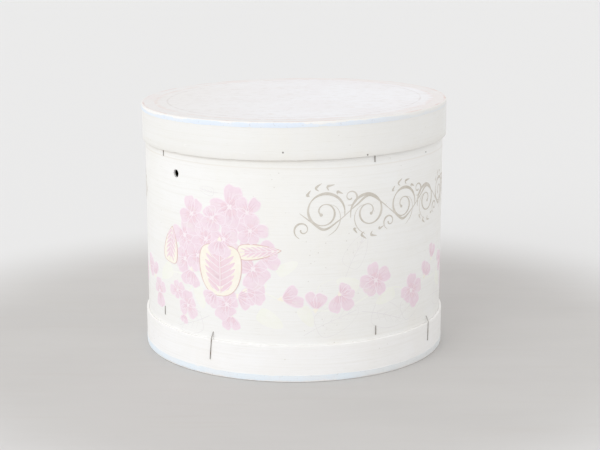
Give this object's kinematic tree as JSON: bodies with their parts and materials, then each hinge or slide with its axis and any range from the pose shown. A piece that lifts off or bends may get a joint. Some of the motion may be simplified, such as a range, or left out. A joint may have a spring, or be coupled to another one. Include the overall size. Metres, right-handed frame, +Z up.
{
  "type": "hat box",
  "caption": "Round bentwood hat box with a lift-off lid, wire-stitched veneer hoops, paper-taped edges and a printed flower pattern.",
  "frame": {"origin": "centre of the base, on the surface that the box stands on", "axes": "+Z up, along the axis of the box, out of the lid; -Y towards the front of the printed pattern"},
  "size_m": [0.3014, 0.3014, 0.2428],
  "materials": {
    "painted_veneer": "cream paint with a printed flower pattern, worn",
    "bare_poplar": "bare, sawn",
    "steel_wire": "dull, oxidised",
    "blue_tape": "gummed paper, worn",
    "lid_paper": "matt, aged"
  },
  "bodies": {
    "box": {"wall": "painted_veneer", "inner_rim_hoop": "bare_poplar", "inner_base_hoop": "bare_poplar", "base_band": "painted_veneer", "base_board": "bare_poplar", "base_edge_tape": "blue_tape", "base_board_brads": "steel_wire", "wall_seam_staples": "steel_wire", "inner_rim_hoop_staples": "steel_wire", "inner_base_hoop_staples": "steel_wire", "base_band_seam_staples": "steel_wire", "base_band_stitches": "steel_wire"},
    "lid": {"lid_board": "bare_poplar", "lid_rim": "painted_veneer", "lid_edge_tape": "blue_tape", "lid_top_paper": "lid_paper", "lid_board_brads": "steel_wire", "lid_seam_staples": "steel_wire"}
  },
  "joints": [
    {"name": "lid_lift", "type": "slide", "parent": "box", "child": "lid", "axis": [0, 0, 1], "range_m": [0, 0.25]}
  ]
}
